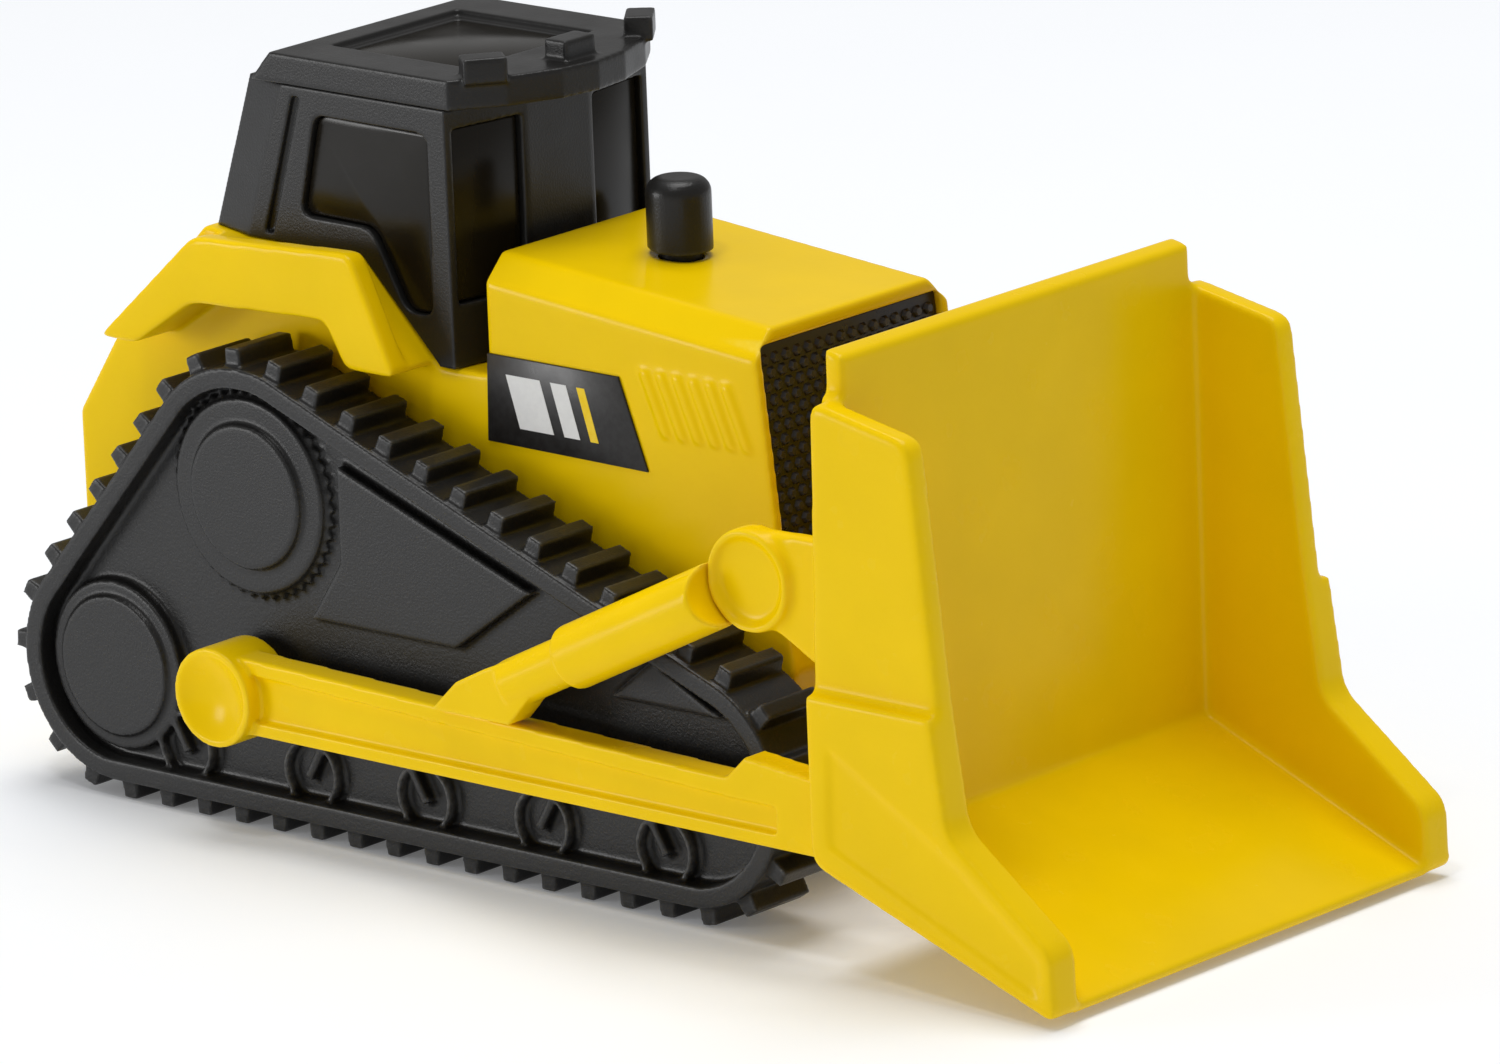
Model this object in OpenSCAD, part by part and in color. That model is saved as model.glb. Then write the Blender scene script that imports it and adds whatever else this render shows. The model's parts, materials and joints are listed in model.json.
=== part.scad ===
// Free-rolling toy bulldozer: a yellow hood and fender shell on a black base plate, a black cab,
// two moulded crawler tracks, and a blade on two push arms that swing about pegs in the tracks.
// +X points forward to the blade, +Y to the left-hand track, +Z up. The origin is on the floor
// under the middle of the toy.

/* [Tracks] */
// Spacing of the cleats along the belt (the count is rounded to close the loop)
cleat_pitch = 3; // [2.6:0.1:3.6]
// Height of a cleat above the belt
cleat_height = 1.1; // [0.6:0.1:1.2]
// Distance from the middle of the toy to the outer face of a track
track_outer = 14.2; // [13.8:0.1:14.3]
// Width of a track
track_width = 5.4; // [4.8:0.1:5.5]
// Height of the two idler centres
idler_height = 8.05; // [8.05:0.05:8.3]
// Radius over the cleats at the front and rear idlers
idler_tip_radius = 8; // [7.6:0.1:8]
// Radius over the cleats at the sprocket
sprocket_tip_radius = 8.8; // [8.5:0.1:9]

/* [Body] */
// Half the width of the hood and lower body
body_half_width = 8.4; // [8:0.1:8.4]
// Wall thickness of the moulded shells
wall = 1.4; // [1.1:0.1:1.6]
// Distance from the middle of the toy to the outer face of a fender
fender_outer = 12; // [11:0.1:12.8]
// Diameter of the exhaust stack
stack_diameter = 3.8; // [3:0.1:5]

/* [Cab] */
// Half the width of the cab
cab_half_width = 8.7; // [8.5:0.1:9]
// Height of the joint between cab and roof
roof_joint_height = 43.4; // [43:0.1:44]

/* [Blade and push arms] */
// Half the width over the upper part of the blade's end plates
blade_half_width = 16.9; // [16.7:0.1:17.2]
// How far the lower part of each end plate stands out from the upper part
shelf_depth = 0.8; // [0.4:0.1:1]
// Thickness of the blade's end plates
plate_thickness = 1.5; // [1.2:0.1:1.8]
// Height of the axis the push arms swing about
pivot_height = 8.7; // [8.5:0.1:9]
// Diameter of the pivot peg on each push arm
peg_diameter = 3; // [2.4:0.1:3.2]

/* [Wheels] */
// Radius of the hidden rolling wheels
wheel_radius = 4; // [3.8:0.1:4.2]
// Width of a wheel
wheel_width = 2.4; // [2:0.1:2.6]
// Diameter of the steel axles
axle_diameter = 1.5; // [1.2:0.1:1.8]

/* [Hidden] */
$fn = 64;
LEFT = 1;
RIGHT = -1;

yellow = "gold";
black = "dimgray";
gloss_black = "black";
steel = "silver";

slip = 0.05;            // clearance between parts that plug together
running = 0.05;         // radial clearance of a running fit
gap = 0.3;              // clearance between parts that move past each other
overlap = 1;            // extra length on cutters

// Track: centres and belt radii of rear idler, front idler and sprocket, anticlockwise
rear_idler_x = -33.2;
front_idler_x = 11.7;
sprocket_x = -21.8;
sprocket_z = 20;
belt_circles = [
    [rear_idler_x, idler_height, idler_tip_radius - cleat_height],
    [front_idler_x, idler_height, idler_tip_radius - cleat_height],
    [sprocket_x, sprocket_z, sprocket_tip_radius - cleat_height]];
rim_thickness = 1.2;
cleat_setback = 0.4;     // cleat ends stop short of the rim faces
track_inner = track_outer - track_width;
web_outer = track_outer - 1.4;
web_thickness = 1.5;
roller_xs = [-28, -18, -9.1, 0, 9.3];
roller_z = 3.9;
roller_radius = 2.1;
relief = 0.8;           // height of the moulded detail above the web
peg_points = [[-33.2, 11], [-21.8, 21], [4, 11]];
frame_peg_radius = 1.4;

// Push arm
pivot_x = -22;
arm_inner = track_outer + 0.5;
arm_outer = arm_inner + 1.9;
cup_radius = 2.95;
cup_outer = arm_outer + 0.7;
arm_front_x = 23.6;

// Lift cylinder and the ring boss it runs into
ring_centre = [18.9, 21.8];
ring_radius = 3;
ring_outer = 16.5;
cylinder_y = 16.4;
cylinder_foot = [-2.2, 11.5];
barrel_start = 8.8;
barrel_radius = 1.9;
rod_radius = 1.45;

// Body
axle_xs = [-30, 6];
base_top = 5.2;
base_thickness = 1.8;
base_bottom = base_top - base_thickness;
screw_xs = [-34.8, -11];
screw_radius = 0.65;
screw_head_radius = 1.45;
screw_head_height = 0.8;
hood_rear_x = -7.3;
hood_front_x = 13;
hood_rear_z = 35.2;
hood_front_z = 33.4;
hood_crown = 0.35;       // rise of the top along its middle
grille_half_width = 7.8;
grille_top = 32.5;
hood_slope = atan2(hood_rear_z - hood_front_z, hood_front_x - hood_rear_x);
deck_z = 34;
step_z = 28.2;

// Outlines in the X-Z plane, all anticlockwise
body_outline = [[-37.5, base_top], [12, base_top], [15.2, 14], [hood_front_x, hood_front_z],
    [hood_rear_x, hood_rear_z], [hood_rear_x, step_z], [-10.8, step_z], [-16.5, deck_z],
    [-29.4, deck_z], [-37.1, 26.2], [-40.3, 21.4], [-40.3, 14]];
fender_outline = [[-34.9, 27.4], [-32, 27.3], [-27.3, 30.4], [-16.7, 30.8], [-15.2, 28.1],
    [-11.3, 28.1], [-14.5, 35], [-27, 34.4]];
fender_rim = 1.4;        // width of the fender's raised outer rim
cab_rear_x = -29;
cab_rear_lean = 18.8;
cab_front_top_x = -7.2;
cab_rear_top_x = cab_rear_x + (roof_joint_height - deck_z) * tan(cab_rear_lean);
cab_outline = [[-10.8, step_z], [-7.65, step_z], [cab_front_top_x, roof_joint_height],
    [cab_rear_top_x, roof_joint_height], [cab_rear_x, deck_z], [-16.5, deck_z]];
cab_upper_outline = [[cab_rear_x, deck_z], [-7.5, deck_z], [cab_front_top_x, roof_joint_height],
    [cab_rear_top_x, roof_joint_height]];
cab_wall = 1.2;
cab_pin_xs = [-26, -19];
cab_pin_radius = 1.2;
roof_thickness = 1.8;
roof_recess = 0.4;
roof_panel = [[-20.6, -4.7], [-11.4, 4.7]];
label_outline = [[-7.4, 24.3], [4.8, 24.2], [2.8, 29.5], [-7.2, 29.5]];
stack_x = 0.3;
stack_top = 39.1;
stack_peg_radius = 1.2;
side_window = [[-21.2, 35.8], [-15.7, 35.7], [-13.2, 31.1], [-11.15, 31.1], [-11, 41.8],
    [-19.8, 41.9]];
window_corner = 0.85;    // how far from each corner a window's edge starts to curve
window_recess = 0.35;
blade_end_outline = [[24, 6.6], [41.3, 0.3], [41.1, 4.4], [34, 9.9], [33, 16.7], [31.4, 31.6],
    [24.3, 33], [23.9, 16.7]];
shelf_z = 16.4;

// Moves every edge of an anticlockwise outline inward by d.
function inset(points, d) = [for (i = [0:len(points) - 1])
    let (n = len(points), here = points[i],
        u = unit(here - points[(i + n - 1) % n]), v = unit(points[(i + 1) % n] - here))
    here + d * (left_of(u) + left_of(v)) / (1 + u * v)];
// Rounds every corner of an outline with a curve that starts and ends a distance cut from it.
function rounded(points, cut, steps = 6) = [for (i = [0:len(points) - 1])
    let (n = len(points), here = points[i],
        back = unit(points[(i + n - 1) % n] - here), ahead = unit(points[(i + 1) % n] - here))
    for (s = [0:1 / steps:1]) here + cut * ((1 - s) * (1 - s) * back + s * s * ahead)];
function unit(v) = v / norm(v);
function left_of(v) = [-v.y, v.x];
function polar(r, angle) = r * [cos(angle), sin(angle)];
function sum(list, upto) = upto < 1 ? 0 : list[upto - 1] + sum(list, upto - 1);

// Belt path: straight runs joined by arcs round the three circles.
function centre(i) = [belt_circles[i % 3].x, belt_circles[i % 3].y];
function radius(i) = belt_circles[i % 3][2];
function run_normal(i) = let (d = centre(i + 1) - centre(i))
    atan2(d.y, d.x) - acos((radius(i) - radius(i + 1)) / norm(d));
function run_start(i) = centre(i) + polar(radius(i), run_normal(i));
function run_end(i) = centre(i + 1) + polar(radius(i + 1), run_normal(i));
function run_length(i) = norm(run_end(i) - run_start(i));
function turn(i) = (run_normal(i + 1) - run_normal(i) + 720) % 360;
function arc_length(i) = turn(i) * PI / 180 * radius(i + 1);
stage_lengths = [run_length(0), arc_length(0), run_length(1), arc_length(1), run_length(2),
    arc_length(2)];
belt_length = sum(stage_lengths, 6);
cleat_count = round(belt_length / cleat_pitch);
cleat_start = 0.75;

// Point and outward angle of the belt at a distance along it.
function belt_frame(s, k = 0) = s > stage_lengths[k] && k < 5 ? belt_frame(s - stage_lengths[k], k + 1)
    : let (i = floor(k / 2))
        k % 2 == 0
        ? [run_start(i) + s * unit(run_end(i) - run_start(i)), run_normal(i)]
        : let (angle = run_normal(i) + s / radius(i + 1) * 180 / PI)
            [centre(i + 1) + polar(radius(i + 1), angle), angle];

// Extrudes an X-Z outline between two distances from the middle, on one side.
module slab(side, inner, outer) {
    translate([0, side > 0 ? outer : -inner, 0])
        rotate([90, 0, 0])
            linear_extrude(outer - inner)
                children();
}

// Extrudes an X-Z outline right across the toy.
module across(half_width) {
    slab(LEFT, -half_width, half_width)
        children();
}

// Round bar along Y on one side.
module bar(side, at, r, inner, outer) {
    slab(side, inner, outer)
        translate(at)
            circle(r);
}

// Belt loop moved inward by shrink. The straight runs lie a hair inside the tangent lines, so that
// they cross the circles cleanly.
module belt_outline(shrink) {
    inside = shrink + 0.01;
    for (c = belt_circles) {
        translate([c.x, c.y])
            circle(c[2] - shrink);
    }
    polygon([for (i = [0:2]) each [
        centre(i) + polar(radius(i) - inside, run_normal(i)),
        centre(i + 1) + polar(radius(i + 1) - inside, run_normal(i))]]);
}

module cleat_outline() {
    base = 0.68;
    tip = 0.5;
    root = 0.4;
    polygon([[-root, -base], [cleat_height, -tip], [cleat_height, tip], [-root, base]]);
}

module cleats() {
    for (k = [0:cleat_count - 1]) {
        place = belt_frame((cleat_start + k * belt_length / cleat_count) % belt_length);
        translate(place[0])
            rotate(place[1])
                cleat_outline();
    }
}

module ring(r_outer, r_inner) {
    difference() {
        circle(r_outer);
        circle(r_inner);
    }
}

module sprocket_outline() {
    teeth = 45;
    tip_radius = 6.3;
    root_radius = 5.95;
    polygon([for (k = [0:2 * teeth - 1]) polar(k % 2 == 0 ? tip_radius : root_radius, k * 180 / teeth)]);
}

// Thin ring with one spoke that leans to an angle.
module roller_outline(lean) {
    ring_thickness = 0.28;
    spoke_half_width = 0.28;
    spoke_start = -0.35;
    ring(roller_radius, roller_radius - ring_thickness);
    rotate(lean)
        translate([spoke_start, -spoke_half_width])
            square([roller_radius - spoke_start - ring_thickness / 2, 2 * spoke_half_width]);
}

// Sprocket, idler and road rollers, moulded in relief on the web.
module running_gear(side) {
    sunk = web_outer - 0.2;
    slab(side, sunk, web_outer + relief / 2)
        translate([sprocket_x, sprocket_z])
            sprocket_outline();
    bar(side, [sprocket_x, sprocket_z], 5.8, sunk, web_outer + relief);
    bar(side, [sprocket_x, sprocket_z], 4.3, sunk, web_outer + 1.5 * relief);
    bar(side, [rear_idler_x, idler_height], 5.1, sunk, web_outer + relief);
    bar(side, [rear_idler_x, idler_height], 4.2, sunk, web_outer + 1.4 * relief);
    for (i = [0:len(roller_xs) - 1]) {
        slab(side, sunk, web_outer + relief)
            translate([roller_xs[i], roller_z])
                roller_outline(i % 2 == 0 ? 120 : 60);
    }
}

module side_panels(side) {
    centre_panel = [[-17.3, 13.3], [-6, 13.3], [0, 17.5], [-14.7, 22.8], [-14.8, 17]];
    front_panel = [[5.8, 12.4], [14.1, 12.4], [9, 15]];
    for (panel = [centre_panel, front_panel]) {
        slab(side, web_outer - 0.2, web_outer + relief)
            polygon(panel);
    }
}

module track_frame(side) {
    color(black)
    difference() {
        union() {
            slab(side, track_inner + cleat_setback, track_outer - cleat_setback)
                cleats();
            slab(side, track_inner, track_outer)
                difference() {
                    belt_outline(0);
                    belt_outline(rim_thickness);
                }
            slab(side, web_outer - web_thickness, web_outer)
                belt_outline(rim_thickness - 0.2);
            running_gear(side);
            side_panels(side);
            for (at = peg_points) {
                bar(side, at, 2.4, track_inner, web_outer - web_thickness + 0.2);
                bar(side, at, frame_peg_radius, body_half_width - wall, track_inner + 0.2);
            }
            bar(side, [pivot_x, pivot_height], peg_diameter / 2 + 1.2, track_inner, web_outer - 0.2);
        }
        bar(side, [pivot_x, pivot_height], peg_diameter / 2 + running, track_inner - overlap, web_outer + overlap);
    }
}

module push_arm_outline() {
    polygon([[pivot_x, pivot_height - 2], [arm_front_x, 6.6], [arm_front_x, 11.1], [18.4, 11.6],
        [16.9, 10.2], [pivot_x, pivot_height + 2.6]]);
}

// Channel between the raised top and bottom edges of the arm.
module push_arm_channel() {
    polygon([[pivot_x, pivot_height - 1.2], [arm_front_x - 3, 7.5], [arm_front_x - 3, 9.1],
        [16.8, 9.1], [pivot_x, pivot_height + 1.7]]);
}

module push_arm(side) {
    pivot = [pivot_x, pivot_height];
    tenon = [[arm_front_x - 0.5, 8], [arm_front_x + 1.4, 8], [arm_front_x + 1.4, 11], [arm_front_x - 0.5, 11]];
    channel_depth = 0.4;
    dish_radius = 4.2;
    dish_depth = 0.9;
    color(yellow)
    difference() {
        union() {
            difference() {
                slab(side, arm_inner, arm_outer)
                    push_arm_outline();
                slab(side, arm_outer - channel_depth, arm_outer + overlap)
                    push_arm_channel();
            }
            slab(side, arm_inner + 0.6, arm_outer - 0.4)
                polygon(tenon);
            bar(side, pivot, cup_radius, web_outer + 0.8, cup_outer);
            bar(side, pivot, 2, web_outer + gap, web_outer + 0.9);
            bar(side, pivot, peg_diameter / 2, track_inner + 0.3, web_outer + gap + 0.1);
        }
        translate([pivot.x, side * (cup_outer + dish_radius - dish_depth), pivot.y])
            sphere(dish_radius);
        slab(side, cylinder_y - 0.6, cylinder_y + 0.6)
            translate(cylinder_foot - [0.8, 0.4])
                square([1.6, overlap]);
    }
}

// Bar along the cylinder axis, from start to finish measured up from the foot.
module along_cylinder(side, r, start, finish) {
    rise = ring_centre - cylinder_foot;
    translate([cylinder_foot.x, side * cylinder_y, cylinder_foot.y])
        rotate([0, 90 - atan2(rise.y, rise.x), 0])
            translate([0, 0, start])
                cylinder(r = r, h = finish - start);
}

module lift_cylinder(side) {
    reach = norm(ring_centre - cylinder_foot);
    foot = [cylinder_foot + [-2.4, -0.6], cylinder_foot + [3.6, -0.6], cylinder_foot + [5.2, 1.2],
        cylinder_foot + [4.2, 3.4], cylinder_foot + [1.8, 2.4], cylinder_foot + [-0.4, 1.3]];
    foot_half_width = 1;
    color(yellow)
    difference() {
        union() {
            along_cylinder(side, rod_radius, 3.5, barrel_start + 1);
            along_cylinder(side, barrel_radius, barrel_start, reach - 0.5);
            slab(side, cylinder_y - foot_half_width, cylinder_y + foot_half_width)
                polygon(foot);
        }
        bar(side, ring_centre, ring_radius + slip, arm_inner - overlap, cup_outer + 2);
    }
}

module ring_boss(side) {
    bracket = [ring_centre + [1.2, -2.6], [24.4, 16.9], [24.4, 24.8], ring_centre + [0, 2.9]];
    dish_depth = 0.5;
    rim = 0.5;
    difference() {
        union() {
            slab(side, arm_inner + 0.1, ring_outer - 0.6)
                polygon(bracket);
            bar(side, ring_centre, ring_radius, arm_inner + 0.1, ring_outer);
        }
        bar(side, ring_centre, ring_radius - rim, ring_outer - dish_depth, ring_outer + overlap);
    }
}

// End plate with its standing-out lower part and the shallow panel sunk in it.
module end_plate(side) {
    panel = [[25.4, 13.6], [25.3, 7.8], [40.2, 1.6], [40.3, 3.8], [34.6, 8.2]];
    panel_depth = 0.25;
    inner = blade_half_width - plate_thickness;
    corner = 0.9;
    outline = rounded(blade_end_outline, corner);
    slab(side, inner, blade_half_width)
        polygon(outline);
    difference() {
        slab(side, inner, blade_half_width + shelf_depth)
            intersection() {
                polygon(outline);
                translate([0, -overlap])
                    square([60, shelf_z + overlap]);
            }
        slab(side, blade_half_width + shelf_depth - panel_depth, blade_half_width + shelf_depth + overlap)
            polygon(panel);
    }
}

module blade() {
    mouldboard = [[24, 6.6], [25.5, 6], [25.4, 35.3], [24.1, 35.6]];
    floor_plate = [[24.5, 6.4], [41, 0.4], [41.2, 1], [25.3, 7.6]];
    shoulder = blade_half_width - plate_thickness;
    socket = [[arm_front_x - overlap, 7.9], [arm_front_x + 1.5, 7.9], [arm_front_x + 1.5, 11.1],
        [arm_front_x - overlap, 11.1]];
    color(yellow)
    difference() {
        union() {
            across(shoulder + 0.2)
                polygon(floor_plate);
            across(shoulder - 0.2)
                polygon(mouldboard);
            across(shoulder + 0.2)
                intersection() {
                    polygon(mouldboard);
                    square([60, 33]);
                }
            for (side = [LEFT, RIGHT]) {
                end_plate(side);
                ring_boss(side);
            }
        }
        for (side = [LEFT, RIGHT]) {
            slab(side, arm_inner + 0.55, arm_outer - 0.35)
                polygon(socket);
        }
    }
}

// Long block with the hood's cross-section, parallel to its sloping top.
module hood_section(shrink) {
    top = hood_rear_z - shrink;
    half = body_half_width - shrink;
    bevel = 1.7;
    translate([hood_rear_x, 0, 0])
        rotate([0, hood_slope, 0])
            translate([-60, 0, 0])
                rotate([90, 0, 90])
                    linear_extrude(120)
                        polygon([[-half, -60], [half, -60], [half, top - bevel], [half - bevel, top],
                            [0, top + hood_crown], [bevel - half, top], [-half, top - bevel]]);
}

// Inside of the shell, open at the bottom.
module body_hollow() {
    mouth_rear = -36;
    mouth_front = 11;
    intersection() {
        across(body_half_width - wall)
            union() {
                polygon(inset(body_outline, wall));
                translate([mouth_rear, base_top - overlap])
                    square([mouth_front - mouth_rear, wall + 2 * overlap]);
            }
        hood_section(wall);
    }
}

module louvres(side) {
    count = 6;
    spacing = 1.22;
    first = 3.4;
    rise = 3.7;
    lean = 1.6;
    thickness = 0.55;
    for (k = [0:count - 1]) {
        foot = first + k * spacing + 1;
        slab(side, body_half_width - 0.2, body_half_width + 0.2)
            polygon([[foot + lean, 26.4], [foot + lean + thickness, 26.4], [foot + thickness, 26.4 + rise],
                [foot, 26.4 + rise]]);
    }
}

// Fender whose outer rim stands above the deck beside the cab.
module fender(side) {
    deck_line = deck_z - 0.1;
    above_deck = [[-40, deck_line], [-16.4, deck_line], [-10.3, 27.1], [0, 27.1], [0, 40], [-40, 40]];
    corner = 0.7;
    difference() {
        slab(side, body_half_width - 0.2, fender_outer)
            polygon(rounded(fender_outline, corner));
        slab(side, body_half_width - overlap, fender_outer - fender_rim)
            polygon(above_deck);
    }
}

module body_solid() {
    intersection() {
        across(body_half_width)
            polygon(body_outline);
        hood_section(0);
    }
}

// Posts from the ceiling of the shell down to the base plate.
module screw_bosses() {
    intersection() {
        body_solid();
        for (x = screw_xs) {
            translate([x, 0, base_top])
                cylinder(r = 2.2, h = deck_z);
        }
    }
}

// Space the cab and its two pins take up in the shell.
module cab_seat() {
    across(cab_half_width + slip)
        polygon(inset(cab_outline, -slip));
    for (x = cab_pin_xs) {
        translate([x, 0, deck_z - wall - overlap])
            cylinder(r = cab_pin_radius + slip, h = wall + 2 * overlap);
    }
}

module grille_opening(shrink) {
    half = grille_half_width - shrink;
    translate([0, -half, 0])
        cube([30, 2 * half, grille_top - shrink]);
}

module grille_zone(shrink) {
    face = [[hood_front_x + 2.6, 17 + shrink], [hood_front_x + 3, 40], [8, 40], [8, 17 + shrink]];
    intersection() {
        across(30)
            polygon(face);
        grille_opening(shrink);
    }
}

module body_shell() {
    color(yellow)
    difference() {
        union() {
            difference() {
                body_solid();
                body_hollow();
            }
            for (side = [LEFT, RIGHT]) {
                fender(side);
                louvres(side);
            }
            screw_bosses();
        }
        grille_zone(0);
        cab_seat();
        translate([stack_x, 0, hood_front_z - 4])
            cylinder(r = stack_peg_radius + slip, h = 8);
        for (x = screw_xs) {
            translate([x, 0, base_top - overlap])
                cylinder(r = screw_radius + slip, h = 9);
        }
        for (side = [LEFT, RIGHT], at = peg_points) {
            bar(side, at, frame_peg_radius + slip, body_half_width - wall - overlap, body_half_width + overlap);
        }
    }
}

module radiator_grille() {
    outline = inset(body_outline, 0.5);
    back = inset(body_outline, wall + 0.6);
    color(gloss_black)
    intersection() {
        difference() {
            across(body_half_width)
                polygon(outline);
            across(body_half_width + overlap)
                polygon(back);
        }
        grille_zone(slip);
    }
}

module base_plate() {
    half = body_half_width - 0.2;
    well = 2 * wheel_radius + 1;
    color(black)
    difference() {
        union() {
            translate([-37.3, -half, base_bottom])
                cube([49.2, 2 * half, base_thickness]);
            for (x = axle_xs) {
                translate([x - 2, -3.2, base_bottom - 0.9])
                    cube([4, 6.4, base_thickness + 1.8]);
            }
        }
        for (x = axle_xs) {
            rotate([90, 0, 0])
                translate([x, wheel_radius, -10])
                    cylinder(r = axle_diameter / 2 + running, h = 20);
            for (y = [-6.8, 3.6]) {
                translate([x - well / 2, y, base_bottom - overlap])
                    cube([well, 3.2, base_thickness + 2 * overlap]);
            }
        }
        for (x = screw_xs) {
            translate([x, 0, base_bottom - overlap])
                cylinder(r = screw_radius + 0.2, h = 5);
            translate([x, 0, base_bottom - overlap])
                cylinder(r = screw_head_radius + 0.1, h = overlap + screw_head_height);
        }
    }
}

module screws() {
    slot_width = 0.4;
    slot_length = 1.8;
    length = 8;
    color(steel)
    for (x = screw_xs) {
        difference() {
            translate([x, 0, base_bottom])
                union() {
                    cylinder(r = screw_head_radius, h = screw_head_height);
                    cylinder(r = screw_radius, h = length);
                }
            for (angle = [0, 90]) {
                translate([x, 0, base_bottom])
                    rotate(angle)
                        cube([slot_length, slot_width, screw_head_height], center = true);
            }
        }
    }
}

// Round-topped stack standing upright on the sloping hood, with a peg below.
module exhaust_stack() {
    radius = stack_diameter / 2;
    rounding = 0.9;
    profile = [[0, hood_front_z], [radius, hood_front_z],
        for (angle = [0:15:90]) [radius - rounding, stack_top - rounding] + polar(rounding, angle),
        [0, stack_top]];
    color(black)
    union() {
        difference() {
            translate([stack_x, 0, 0])
                rotate_extrude()
                    polygon(profile);
            hood_section(0);
        }
        translate([stack_x, 0, hood_front_z - 1.5])
            cylinder(r = stack_peg_radius, h = 3);
    }
}

// Everything behind the three facets of the cab's front.
module cab_plan(grow) {
    half = cab_half_width + grow;
    front = -8.7 + grow;
    facet_half = 2.6;
    corner_setback = 0.9;
    polygon([[-40, -half], [front - corner_setback, -half], [front, -facet_half], [front, facet_half],
        [front - corner_setback, half], [-40, half]]);
}

// Cab body with an X-Z outline, faceted front and chamfered rear corners, all moved in by shrink.
module cab_block(outline, shrink) {
    half = cab_half_width - shrink;
    chamfer_length = 3.3;
    chamfer_depth = 1.1;
    intersection() {
        across(half)
            polygon(inset(outline, shrink));
        linear_extrude(60)
            cab_plan(-shrink);
        translate([cab_rear_x + shrink, 0, deck_z])
            rotate([0, cab_rear_lean, 0])
                translate([0, 0, -30])
                    linear_extrude(60)
                        polygon([[0, chamfer_depth - half], [chamfer_length, -half], [60, -half], [60, half],
                            [chamfer_length, half], [0, half - chamfer_depth]]);
    }
}

// Prisms through the side, front and rear windows, moved in by shrink.
module window_prisms(shrink) {
    front_inner = 3.05;
    front_outer = 8.1;
    front_sill = 31.9;
    front_head = 42.2;
    rear_half_width = 5;
    rear_sill = 36.4;
    rear_head = 41.2;
    across(cab_half_width + overlap)
        polygon(rounded(inset(side_window, shrink), window_corner - shrink));
    for (side = [LEFT, RIGHT]) {
        translate([-11.2, side > 0 ? front_inner + shrink : shrink - front_outer, front_sill + shrink])
            cube([5, front_outer - front_inner - 2 * shrink, front_head - front_sill - 2 * shrink]);
    }
    translate([-32, shrink - rear_half_width, rear_sill + shrink])
        cube([8, 2 * (rear_half_width - shrink), rear_head - rear_sill - 2 * shrink]);
}

module cab_shell() {
    groove = [[-24.1, 34.4], [-23.5, 34.4], [-20.9, 42.8], [-21.5, 42.8]];
    groove_depth = 0.4;
    color(black)
    difference() {
        union() {
            difference() {
                cab_block(cab_outline, 0);
                cab_block(cab_outline, cab_wall);
                translate([-23.5, -5.5, roof_joint_height - 3])
                    cube([13.9, 11, 5]);
            }
            for (x = cab_pin_xs) {
                translate([x, 0, deck_z - wall])
                    cylinder(r = cab_pin_radius, h = wall + 0.6);
            }
        }
        window_prisms(0);
        for (side = [LEFT, RIGHT]) {
            slab(side, cab_half_width - groove_depth, cab_half_width + overlap)
                polygon(groove);
        }
    }
}

// Dark liner with a raised pane in each window and a raised panel in the opening of the roof.
module cab_glazing() {
    sheet = 1;
    fit = cab_wall + slip;
    size = roof_panel[1] - roof_panel[0];
    color(gloss_black)
    union() {
        difference() {
            cab_block(cab_upper_outline, fit);
            cab_block(cab_upper_outline, fit + sheet);
        }
        intersection() {
            difference() {
                cab_block(cab_outline, window_recess);
                cab_block(cab_outline, fit + sheet / 2);
            }
            window_prisms(slip);
        }
        translate([roof_panel[0].x, roof_panel[0].y, roof_joint_height - fit - sheet / 2])
            cube([size.x, size.y, fit + sheet / 2 + roof_thickness - roof_recess]);
    }
}

module roof_plan() {
    half = cab_half_width;
    rear = -24.8;
    bow = [[-9.2, half], [-7.1, 5.9], [-5.8, 2.7], [-5.4, 0]];
    polygon([[rear, -half], for (p = bow) [p.x, -p.y], for (k = [2:-1:0]) bow[k], [rear, half]]);
}

// Three lamps along the bowed front edge of the roof: position and angle of each.
module roof_lamps() {
    lamps = [[[-8.3, -6.6], 52], [[-7.4, -0.2], 90], [[-8.1, 6.6], -52]];
    size = [2.6, 1.7, 1.5];
    for (lamp = lamps) {
        translate([lamp[0].x, lamp[0].y, roof_joint_height + roof_thickness - 0.3])
            rotate(lamp[1])
                translate([-size.x / 2, -size.y / 2, 0])
                    cube(size);
    }
}

module cab_roof() {
    rear_edge = [[-60, 0], [-24.8, roof_joint_height - 0.01], [-23.2, roof_joint_height + roof_thickness],
        [-23.2, 60], [-60, 60]];
    recess_margin = 0.7;
    size = roof_panel[1] - roof_panel[0];
    color(black)
    difference() {
        union() {
            translate([0, 0, roof_joint_height])
                linear_extrude(roof_thickness)
                    roof_plan();
            roof_lamps();
        }
        across(30)
            polygon(rear_edge);
        translate([roof_panel[0].x - recess_margin, roof_panel[0].y - recess_margin,
            roof_joint_height + roof_thickness - roof_recess])
            cube([size.x + 2 * recess_margin, size.y + 2 * recess_margin, 5]);
        translate([roof_panel[0].x - slip, roof_panel[0].y - slip, 0])
            cube([size.x + 2 * slip, size.y + 2 * slip, 60]);
    }
}

module side_label(side) {
    thickness = 0.15;
    color(gloss_black)
    slab(side, body_half_width, body_half_width + thickness)
        polygon(label_outline);
}

module axle(x) {
    half_length = 6.4;
    color(steel)
    bar(LEFT, [x, wheel_radius], axle_diameter / 2, -half_length, half_length);
}

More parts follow.
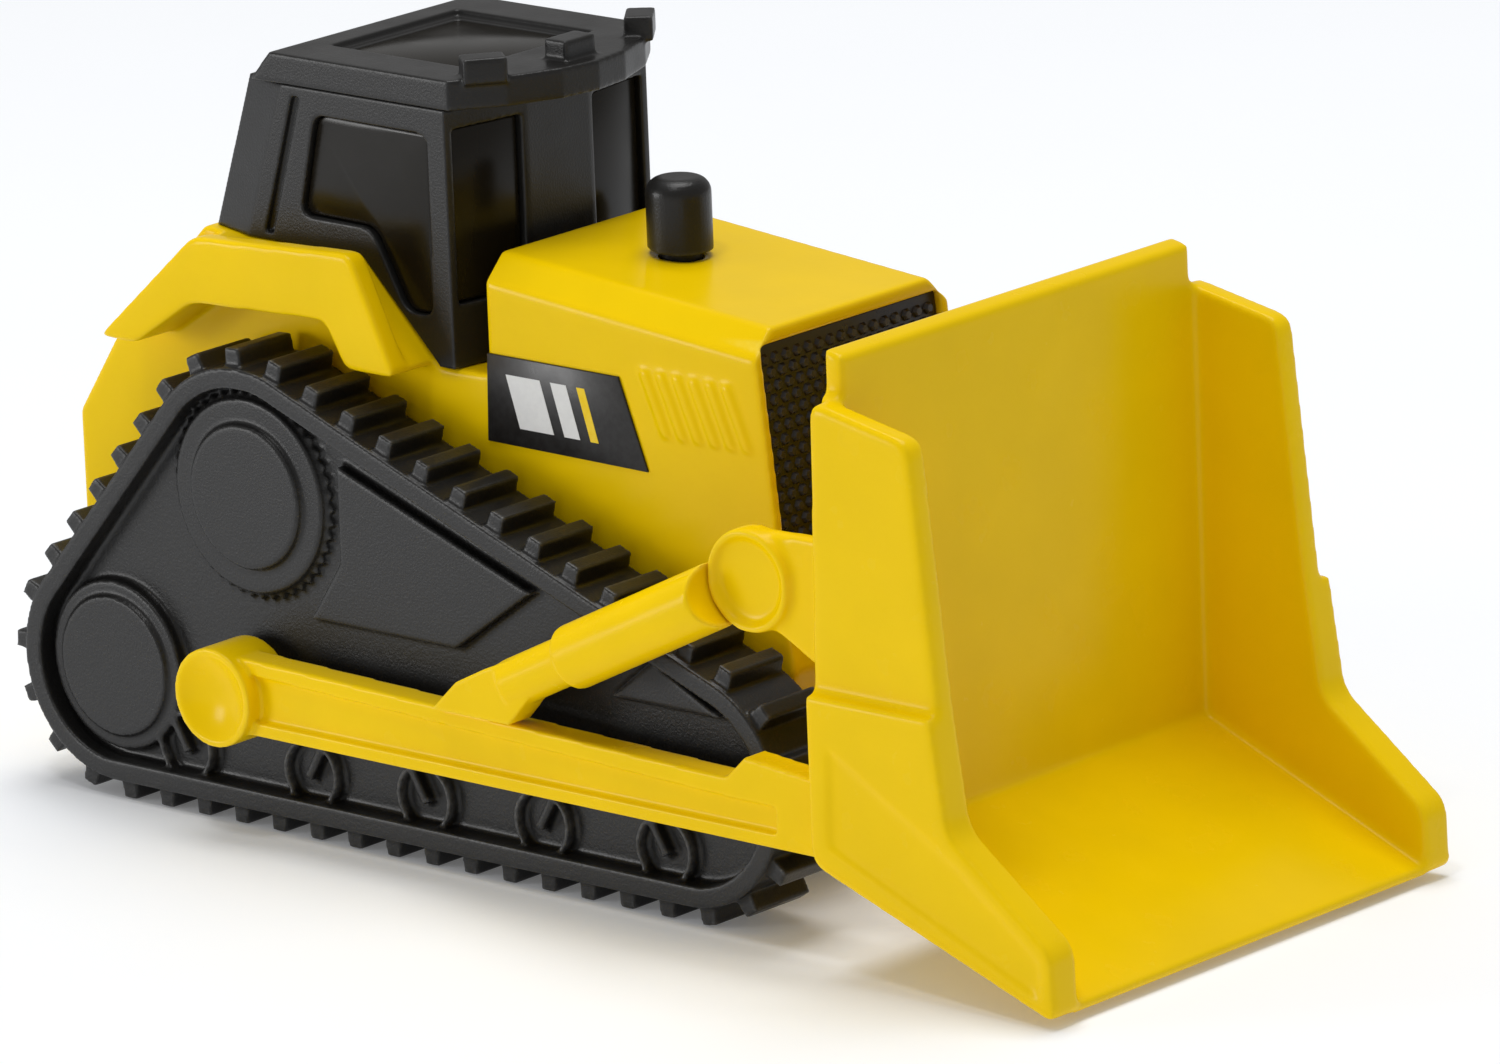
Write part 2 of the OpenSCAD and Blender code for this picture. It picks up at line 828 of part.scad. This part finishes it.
module wheel(side, x) {
    inner = 4;
    groove_depth = 0.5;
    color(black)
    difference() {
        bar(side, [x, wheel_radius], wheel_radius, inner, inner + wheel_width);
        bar(side, [x, wheel_radius], axle_diameter / 2, inner - overlap, inner + wheel_width + overlap);
        slab(side, inner + wheel_width - groove_depth, inner + wheel_width + overlap)
            translate([x, wheel_radius])
                ring(wheel_radius - 0.8, axle_diameter / 2 + 0.8);
    }
}

body_shell();
base_plate();
cab_shell();
cab_roof();
cab_glazing();
exhaust_stack();
radiator_grille();
track_frame(LEFT);  // track_frame_left
track_frame(RIGHT);  // track_frame_right
blade();
push_arm(LEFT);  // push_arm_left
push_arm(RIGHT);  // push_arm_right
lift_cylinder(LEFT);  // lift_cylinder_left
lift_cylinder(RIGHT);  // lift_cylinder_right
axle(axle_xs[1]);  // front_axle
axle(axle_xs[0]);  // rear_axle
wheel(LEFT, axle_xs[1]);  // wheel_front_left
wheel(RIGHT, axle_xs[1]);  // wheel_front_right
wheel(LEFT, axle_xs[0]);  // wheel_rear_left
wheel(RIGHT, axle_xs[0]);  // wheel_rear_right
screws();
side_label(LEFT);  // side_label_left
side_label(RIGHT);  // side_label_right
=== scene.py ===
"""Looks of the toy bulldozer: rounded mouldings, plastics, small relief detail, studio and camera."""

import json
import math

import bmesh
import bpy
from mathutils import Matrix, Vector
from mathutils.bvhtree import BVHTree


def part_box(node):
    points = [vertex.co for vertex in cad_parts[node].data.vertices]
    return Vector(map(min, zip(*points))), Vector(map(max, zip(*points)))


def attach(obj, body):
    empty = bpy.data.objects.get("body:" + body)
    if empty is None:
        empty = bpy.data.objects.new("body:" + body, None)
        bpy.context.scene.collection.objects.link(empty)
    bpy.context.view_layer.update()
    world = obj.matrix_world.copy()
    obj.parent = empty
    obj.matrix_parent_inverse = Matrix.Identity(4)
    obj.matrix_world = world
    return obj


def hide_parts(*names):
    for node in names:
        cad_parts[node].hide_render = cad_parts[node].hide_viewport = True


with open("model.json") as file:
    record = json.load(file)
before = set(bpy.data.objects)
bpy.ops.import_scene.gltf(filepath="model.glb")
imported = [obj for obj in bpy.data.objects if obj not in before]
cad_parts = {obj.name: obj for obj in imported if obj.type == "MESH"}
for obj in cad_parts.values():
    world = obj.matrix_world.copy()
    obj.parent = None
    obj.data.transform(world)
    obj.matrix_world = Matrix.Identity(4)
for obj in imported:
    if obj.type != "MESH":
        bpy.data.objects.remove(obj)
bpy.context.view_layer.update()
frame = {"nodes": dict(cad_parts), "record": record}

MM = 0.001
NODE_BODY = {
    node: body for body, nodes in frame["record"]["behaviour"]["bodies"].items() for node in nodes
}
SLOT_OF = {part["node"]: part["material_slot"] for part in frame["record"]["subparts"]}
SIDES = {"left": 1, "right": -1}


# ---------------------------------------------------------------- materials
class Shader:
    """A material's node tree with short helpers for adding and wiring nodes."""

    def __init__(self, name):
        self.material = bpy.data.materials.new(name)
        self.material.use_nodes = True
        self.tree = self.material.node_tree
        self.surface = self.tree.nodes["Principled BSDF"]
        self.place = self.add("ShaderNodeTexCoord").outputs["Object"]

    def add(self, kind, **settings):
        node = self.tree.nodes.new(kind)
        for name, value in settings.items():
            setattr(node, name, value)
        return node

    def link(self, source, target):
        self.tree.links.new(source, target)

    def noise(self, per_mm, detail=3.0):
        """Noise with about this many features in a millimetre."""
        node = self.add("ShaderNodeTexNoise")
        node.inputs["Scale"].default_value = per_mm / MM
        node.inputs["Detail"].default_value = detail
        self.link(self.place, node.inputs["Vector"])
        return node.outputs["Fac"]

    def remap(self, source, low, high, start=0.3, end=0.7):
        """Maps start..end of the source to low..high."""
        node = self.add("ShaderNodeMapRange")
        self.link(source, node.inputs["Value"])
        for name, value in (("From Min", start), ("From Max", end), ("To Min", low), ("To Max", high)):
            node.inputs[name].default_value = value
        return node.outputs["Result"]

    def mix(self, factor, first, second):
        """Mixes two colours, each a tuple or a node's output."""
        node = self.add("ShaderNodeMix", data_type="RGBA")
        self.link(factor, node.inputs["Factor"])
        colour_inputs = [socket for socket in node.inputs if socket.type == "RGBA"]
        for socket, value in zip(colour_inputs, (first, second)):
            if isinstance(value, tuple):
                socket.default_value = (*value, 1.0)
            else:
                self.link(value, socket)
        return next(socket for socket in node.outputs if socket.type == "RGBA")

    def add_bump(self, height, depth_mm):
        node = self.add("ShaderNodeBump")
        node.inputs["Distance"].default_value = depth_mm * MM
        self.link(height, node.inputs["Height"])
        self.link(node.outputs["Normal"], self.surface.inputs["Normal"])

    def edges(self, reach_mm):
        """0 on flat faces, up to 1 on sharp convex edges and on parts thinner than the reach."""
        node = self.add("ShaderNodeAmbientOcclusion", inside=True, only_local=True, samples=6)
        node.inputs["Distance"].default_value = reach_mm * MM
        return self.remap(node.outputs["AO"], 0.0, 1.0, start=0.85, end=0.5)


EDGE_REACH = 0.35           # millimetres, how far the lighter edge colour (rub wear plus painted highlight) spreads


def plastic(name, colour, rub_and_highlight_colour, roughness, grain_per_mm, grain_depth, rub_and_highlight_strength=0.35, specular=0.5):
    """Moulded plastic: uneven tint, patchy sheen, fine grain and sharp edges lightened by rub wear and a
    painted highlight.
    """
    shader = Shader(name)
    surface = shader.surface
    dark = tuple(channel * 0.93 for channel in colour)
    tint = shader.mix(shader.remap(shader.noise(0.12), 0.0, 1.0), dark, colour)
    # Convex edges get a lighter colour: partly rub wear, partly a painted highlight.
    rub_and_highlight_patches = shader.remap(shader.noise(2.5, 4.0), 0.35 * rub_and_highlight_strength, rub_and_highlight_strength, start=0.35, end=0.65)
    rub_and_highlight_mask = shader.add("ShaderNodeMath", operation="MULTIPLY")
    shader.link(rub_and_highlight_patches, rub_and_highlight_mask.inputs[0])
    shader.link(shader.edges(EDGE_REACH), rub_and_highlight_mask.inputs[1])
    shader.link(shader.mix(rub_and_highlight_mask.outputs[0], tint, rub_and_highlight_colour), surface.inputs["Base Color"])
    patches = shader.remap(shader.noise(0.35, 5.0), roughness - 0.04, roughness + 0.05)
    shader.link(patches, surface.inputs["Roughness"])
    shader.add_bump(shader.noise(grain_per_mm, 4.0), grain_depth)
    surface.inputs["Specular IOR Level"].default_value = specular
    return shader.material


def steel(name):
    """Drawn steel with fine streaks and a few dull patches."""
    shader = Shader(name)
    surface = shader.surface
    surface.inputs["Metallic"].default_value = 1.0
    streaks = shader.noise(6.0, 2.0)
    shader.link(shader.mix(streaks, (0.42, 0.42, 0.43), (0.62, 0.62, 0.61)), surface.inputs["Base Color"])
    shader.link(shader.remap(shader.noise(0.8), 0.25, 0.45), surface.inputs["Roughness"])
    shader.add_bump(streaks, 0.01)
    return shader.material


def grey(level):
    return (level, level, level)


YELLOW = (0.92, 0.61, 0.0005)
# Paler yellow for convex edges: rub wear plus a painted highlight.
RUB_AND_HIGHLIGHT_YELLOW = (0.95, 0.76, 0.14)
BLACK = (0.011, 0.0105, 0.010)
# Each entry's edge colour goes on convex edges as rub wear plus a painted highlight.
PLASTICS = {
    "yellow_body": {
        "colour": YELLOW, "rub_and_highlight_colour": RUB_AND_HIGHLIGHT_YELLOW, "roughness": 0.22,
        "grain_per_mm": 3.0, "grain_depth": 0.003, "specular": 0.1,
    },
    "yellow_plastic": {
        "colour": YELLOW, "rub_and_highlight_colour": RUB_AND_HIGHLIGHT_YELLOW, "roughness": 0.24,
        "grain_per_mm": 3.0, "grain_depth": 0.003, "specular": 0.1,
    },
    "black_plastic": {
        "colour": BLACK, "rub_and_highlight_colour": grey(0.08), "roughness": 0.34,
        "grain_per_mm": 7.0, "grain_depth": 0.015, "rub_and_highlight_strength": 0.6, "specular": 0.3,
    },
    "track_plastic": {
        "colour": BLACK, "rub_and_highlight_colour": grey(0.12), "roughness": 0.36,
        "grain_per_mm": 7.0, "grain_depth": 0.02, "rub_and_highlight_strength": 0.8, "specular": 0.35,
    },
    "dark_glazing": {
        "colour": (0.009, 0.007, 0.004), "rub_and_highlight_colour": grey(0.02), "roughness": 0.2,
        "grain_per_mm": 2.0, "grain_depth": 0.001, "specular": 0.2,
    },
    "grille_black": {
        "colour": (0.014, 0.009, 0.006), "rub_and_highlight_colour": (0.09, 0.08, 0.07), "roughness": 0.3,
        "grain_per_mm": 5.0, "grain_depth": 0.006,
    },
    "label_black": {
        "colour": (0.008, 0.006, 0.005), "rub_and_highlight_colour": grey(0.04), "roughness": 0.3,
        "grain_per_mm": 4.0, "grain_depth": 0.004, "specular": 0.3,
    },
    "wheel_plastic": {
        "colour": grey(0.035), "rub_and_highlight_colour": grey(0.12), "roughness": 0.5,
        "grain_per_mm": 5.0, "grain_depth": 0.01,
    },
    "label_white": {
        "colour": (0.78, 0.78, 0.76), "rub_and_highlight_colour": grey(0.6), "roughness": 0.35,
        "grain_per_mm": 4.0, "grain_depth": 0.003,
    },
}
materials = {name: plastic(name, **settings) for name, settings in PLASTICS.items()}
materials["axle_steel"] = steel("axle_steel")


# ---------------------------------------------------------------- pieces
def link_piece(name, mesh, body, slot, material=None):
    """Adds a mesh as a piece of the toy that rides on a body."""
    piece = bpy.data.objects.new(name, mesh)
    bpy.context.scene.collection.objects.link(piece)
    mesh.materials.clear()
    mesh.materials.append(materials[material or slot])
    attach(piece, body)
    return piece


def shown_as(node, mesh):
    """Adds a mesh that stands in for a CAD node."""
    piece = link_piece(node + "_moulding", mesh, NODE_BODY[node], SLOT_OF[node])
    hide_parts(node)


def evaluated(mesh, *modifiers):
    """Mesh that results from modifiers, each a (type, settings) pair."""
    holder = bpy.data.objects.new("holder", mesh)
    bpy.context.scene.collection.objects.link(holder)
    for kind, settings in modifiers:
        modifier = holder.modifiers.new(kind.lower(), kind)
        for name, value in settings.items():
            setattr(modifier, name, value)
    result = bpy.data.meshes.new_from_object(holder.evaluated_get(bpy.context.evaluated_depsgraph_get()))
    bpy.data.objects.remove(holder)
    return result


def moulded(node, voxel, rounds, keep):
    """Stands in for a CAD node with a filleted copy, as moulded plastic comes out of its tool.

    voxel is the remesh size in millimetres. More smoothing rounds give larger fillets, and keep is the
    share of the faces left after thinning.
    """
    mesh = evaluated(
        frame["nodes"][node].data.copy(),
        ("WELD", {"merge_threshold": 0.001 * MM}),
        ("REMESH", {"mode": "VOXEL", "voxel_size": voxel * MM}),
        ("SMOOTH", {"factor": 0.5, "iterations": rounds}),
    )
    for face in mesh.polygons:
        face.use_smooth = True
    mesh = evaluated(
        mesh,
        ("DECIMATE", {"ratio": keep}),
        ("WEIGHTED_NORMAL", {"mode": "FACE_AREA", "weight": 100}),
    )
    mesh.name = node + "_moulding"
    shown_as(node, mesh)


BEVEL_SEGMENTS = 2
BEVEL_FROM = math.radians(30)       # edges that turn by more than this are bevelled
FACET_LIMIT = math.radians(0.8)     # faces that meet at less than this are merged into one
CREASE_FROM = math.radians(32)      # edges that turn by more than this are shaded sharp


def bevelled(node, radius):
    """Stands in for a CAD node with a copy whose edges are rounded to a radius in millimetres."""
    work = bmesh.new()
    work.from_mesh(frame["nodes"][node].data)
    bmesh.ops.remove_doubles(work, verts=work.verts, dist=0.002 * MM)
    bmesh.ops.dissolve_limit(
        work,
        angle_limit=FACET_LIMIT,
        verts=work.verts,
        edges=work.edges,
        use_dissolve_boundaries=False,
    )
    bmesh.ops.bevel(
        work,
        geom=[edge for edge in work.edges if edge.is_manifold and edge.calc_face_angle(0.0) > BEVEL_FROM],
        offset=radius * MM,
        segments=BEVEL_SEGMENTS,
        profile=0.5,
        affect="EDGES",
        clamp_overlap=False,
    )
    bmesh.ops.recalc_face_normals(work, faces=work.faces)
    for face in work.faces:
        face.smooth = True
    mesh = bpy.data.meshes.new(node + "_moulding")
    work.to_mesh(mesh)
    work.free()
    mesh.set_sharp_from_angle(angle=CREASE_FROM)
    shown_as(node, mesh)


# Remesh size in millimetres, smoothing rounds and share of faces kept
MOULDINGS = {
    "body_shell": (0.13, 26, 0.2),
    "base_plate": (0.15, 4, 0.2),
    "cab_shell": (0.1, 10, 0.25),
    "cab_roof": (0.1, 22, 0.4),
    "exhaust_stack": (0.07, 3, 0.5),
    "blade": (0.15, 36, 0.3),
}
SIDE_MOULDINGS = {
    "track_frame": (0.13, 4, 0.4),
    "push_arm": (0.1, 16, 0.4),
    "lift_cylinder": (0.1, 20, 0.5),
}
# Radius in millimetres
BEVELS = {
    "cab_glazing": 0.15,
    "radiator_grille": 0.1,
    "front_axle": 0.15,
    "rear_axle": 0.15,
    "screws": 0.08,
}
SIDE_BEVELS = {
    "wheel_front": 0.2,
    "wheel_rear": 0.2,
    "side_label": 0.04,
}
for node_name, settings in MOULDINGS.items():
    moulded(node_name, *settings)
for node_name, edge_radius in BEVELS.items():
    bevelled(node_name, edge_radius)
for side_name in SIDES:
    for stem, settings in SIDE_MOULDINGS.items():
        moulded(f"{stem}_{side_name}", *settings)
    for stem, edge_radius in SIDE_BEVELS.items():
        bevelled(f"{stem}_{side_name}", edge_radius)


# ---------------------------------------------------------------- fine relief
def ring_of_faces(work, first, second):
    """Joins two rings of vertices, of the same count, with quads."""
    count = len(first)
    for k in range(count):
        after = (k + 1) % count
        work.faces.new((first[k], first[after], second[after], second[k]))


def plate(work, corners, thickness, side, y):
    """Adds a flat polygon with X-Z corners to a bmesh, raised outward from y by a thickness."""
    rings = [[work.verts.new((x, side * (y + rise), z)) for x, z in corners] for rise in (0.0, thickness)]
    for ring in rings:
        work.faces.new(ring)
    ring_of_faces(work, *rings)


def mesh_piece(name, work, body, slot, material=None):
    """Turns a bmesh into a piece of the toy, with its normals outward."""
    bmesh.ops.recalc_face_normals(work, faces=work.faces)
    mesh = bpy.data.meshes.new(name)
    work.to_mesh(mesh)
    work.free()
    link_piece(name, mesh, body, slot, material)


# Material, distance from the label's rear end and width in millimetres
LABEL_STRIPES = {
    "wide": ("label_white", 1.6, 2.6),
    "narrow": ("label_white", 5.0, 1.2),
    "thin": ("yellow_plastic", 7.0, 0.6),
}
STRIPE_THICKNESS = 0.02 * MM
STRIPE_SINK = 0.005 * MM            # how far a stripe's back lies inside the label


def label_marks():
    """Plain slanted stripes on the side labels."""
    for side_name, side in SIDES.items():
        low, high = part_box("side_label_" + side_name)
        face = max(abs(low.y), abs(high.y))
        height = high.z - low.z
        bottom = low.z + 0.22 * height
        top = high.z - 0.2 * height
        slant = 0.18 * height
        for tag, (material, start, width) in LABEL_STRIPES.items():
            x = low.x + start * MM
            corners = [
                (x + slant, bottom),
                (x + slant + width * MM, bottom),
                (x + width * MM, top),
                (x, top),
            ]
            work = bmesh.new()
            plate(work, corners, STRIPE_THICKNESS, side, face - STRIPE_SINK)
            mesh_piece(f"label_stripe_{tag}_{side_name}", work, "chassis", "label_black", material)


BUMP_SPACING = 0.95 * MM
BUMP_ROW_STEP = 0.82 * BUMP_SPACING
BUMP_RADIUS = 0.42 * MM
BUMP_TOP_RADIUS = 0.55 * BUMP_RADIUS
BUMP_HEIGHT = 0.22 * MM
BUMP_SINK = 0.03 * MM               # how far a bump's foot lies inside the grille
GRILLE_MARGIN = 0.5 * MM


def hexagonal_bump(work, centre, normal):
    """Adds one blunt six-sided bump that stands on a face along its normal."""
    across = Vector((0, 1, 0))
    up = normal.cross(across)
    rings = []
    for radius, rise in ((BUMP_RADIUS, -BUMP_SINK), (BUMP_TOP_RADIUS, BUMP_HEIGHT)):
        ring = []
        for k in range(6):
            turn = math.radians(60 * k)
            place = centre + normal * rise + across * radius * math.cos(turn) + up * radius * math.sin(turn)
            ring.append(work.verts.new(place))
        rings.append(ring)
    work.faces.new(rings[1])
    ring_of_faces(work, *rings)


def grille_bumps():
    """Staggered hexagonal bumps over the face of the radiator grille."""
    grille = frame["nodes"]["radiator_grille"].data
    tree = BVHTree.FromPolygons([v.co for v in grille.vertices], [p.vertices for p in grille.polygons])
    low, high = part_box("radiator_grille")
    work = bmesh.new()
    row = 0
    z = low.z + GRILLE_MARGIN
    while z < high.z - GRILLE_MARGIN:
        y = low.y + GRILLE_MARGIN + (BUMP_SPACING / 2 if row % 2 else 0.0)
        while y < high.y - GRILLE_MARGIN:
            hit, normal, _, _ = tree.ray_cast(Vector((high.x + 1 * MM, y, z)), Vector((-1, 0, 0)))
            if hit is not None:
                hexagonal_bump(work, hit, normal)
            y += BUMP_SPACING
        z += BUMP_ROW_STEP
        row += 1
    mesh_piece("grille_bumps", work, "chassis", "grille_black")


label_marks()
grille_bumps()


# ---------------------------------------------------------------- studio
FLOOR_REACH = 3.0                   # metres from the middle to each edge of the floor
FLOOR_DROP = 0.02 * MM              # keeps the floor clear of the faces that stand on it
LIGHT_AIM = Vector((0.0, 0.0, 0.015))
# Place in metres, side of the square in metres and power in watts
LIGHTS = {
    "key": ((-0.36, -0.42, 0.06), 0.16, 0.9),
    "overhead": ((-0.05, 0.10, 0.70), 0.4, 2.9),
    "edge": ((0.05, -0.25, 0.65), 0.08, 0.55),
}


def area_light(name, place, size, power):
    """Adds a square light that faces the toy."""
    light = bpy.data.lights.new(name, "AREA")
    light.shape = "SQUARE"
    light.size = size
    light.energy = power
    lamp = bpy.data.objects.new(name, light)
    lamp.location = place
    lamp.rotation_mode = "QUATERNION"
    lamp.rotation_quaternion = (LIGHT_AIM - Vector(place)).to_track_quat("-Z", "Y")
    bpy.context.scene.collection.objects.link(lamp)


def white_surroundings():
    world = bpy.context.scene.world or bpy.data.worlds.new("studio")
    bpy.context.scene.world = world
    world.use_nodes = True
    background = world.node_tree.nodes["Background"]
    background.inputs["Color"].default_value = (1.0, 1.0, 1.0, 1.0)
    background.inputs["Strength"].default_value = 0.38


def paper_floor():
    """Pale floor that also glows faintly, so that it stays almost white under the soft light."""
    corners = [(-1, -1), (1, -1), (1, 1), (-1, 1)]
    mesh = bpy.data.meshes.new("floor")
    mesh.from_pydata([(x * FLOOR_REACH, y * FLOOR_REACH, 0.0) for x, y in corners], [], [(0, 1, 2, 3)])
    floor = bpy.data.objects.new("floor", mesh)
    floor.location.z = -FLOOR_DROP
    bpy.context.scene.collection.objects.link(floor)
    shader = Shader("floor_paper")
    surface = shader.surface
    clouds = shader.noise(0.02, 4.0)
    shader.link(shader.mix(clouds, (0.88, 0.90, 0.93), (0.91, 0.93, 0.96)), surface.inputs["Base Color"])
    surface.inputs["Roughness"].default_value = 0.7
    surface.inputs["Emission Color"].default_value = (1.0, 1.0, 1.0, 1.0)
    surface.inputs["Emission Strength"].default_value = 0.1
    mesh.materials.append(shader.material)


CAMERA_AZIMUTH = math.radians(41.62)
CAMERA_ELEVATION = math.radians(15.24)
CAMERA_ROLL = math.radians(-2.21)
CAMERA_DISTANCE = 0.7091
CAMERA_AIM = Vector((-15.14, 22.4, 10.58)) * MM
LENS = 284.6
SENSOR_WIDTH = 36.0


def camera():
    """Long lens at the photograph's viewing angle."""
    back = Vector((
        math.sin(CAMERA_AZIMUTH) * math.cos(CAMERA_ELEVATION),
        -math.cos(CAMERA_AZIMUTH) * math.cos(CAMERA_ELEVATION),
        math.sin(CAMERA_ELEVATION),
    ))
    right = (-back).cross(Vector((0, 0, 1))).normalized()
    up = right.cross(-back)
    turned_right = right * math.cos(CAMERA_ROLL) + up * math.sin(CAMERA_ROLL)
    turned_up = up * math.cos(CAMERA_ROLL) - right * math.sin(CAMERA_ROLL)
    axes = Matrix((turned_right, turned_up, back)).transposed().to_4x4()
    data = bpy.data.cameras.new("camera")
    data.lens = LENS
    data.sensor_width = SENSOR_WIDTH
    data.clip_start = 0.05
    data.clip_end = 20.0
    view = bpy.data.objects.new("camera", data)
    view.matrix_world = Matrix.Translation(CAMERA_AIM + back * CAMERA_DISTANCE) @ axes
    bpy.context.scene.collection.objects.link(view)
    bpy.context.scene.camera = view


camera()
white_surroundings()
paper_floor()
for light_name, settings in LIGHTS.items():
    area_light(light_name, *settings)
bpy.context.scene.view_settings.view_transform = "Standard"
